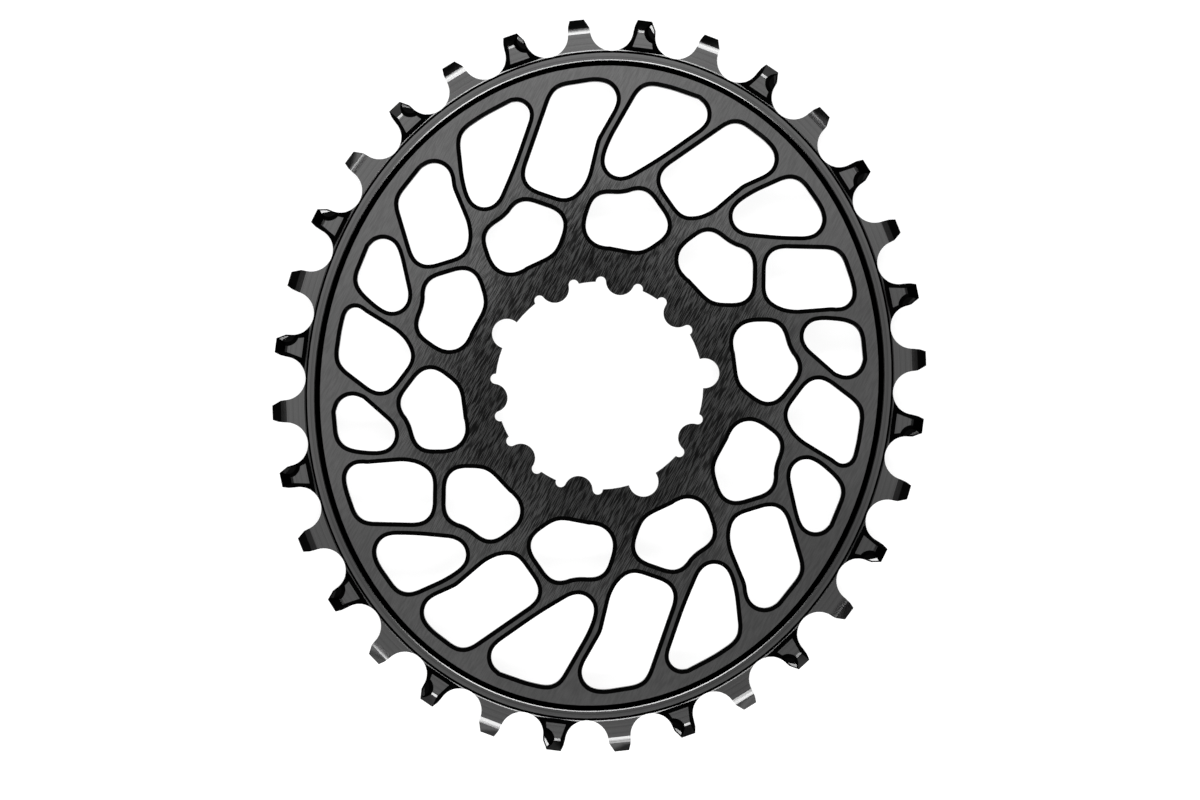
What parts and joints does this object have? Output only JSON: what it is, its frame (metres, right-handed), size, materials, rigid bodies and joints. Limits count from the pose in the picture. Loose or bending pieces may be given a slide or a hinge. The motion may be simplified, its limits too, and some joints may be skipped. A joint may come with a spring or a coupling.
{
  "type": "bicycle chainring",
  "caption": "Oval aluminium chainring with alternating wide and narrow teeth, a dished web of curved spokes and a splined bore.",
  "frame": {"origin": "axis of the bore, on the flat back of the rim", "axes": "+Z along the bore axis, out of the outer face; +Y along the long axis of the oval"},
  "size_m": [0.1258, 0.1416, 0.0063],
  "materials": {
    "anodised": "satin"
  },
  "bodies": {
    "root": {"chainring": "anodised"}
  },
  "joints": []
}
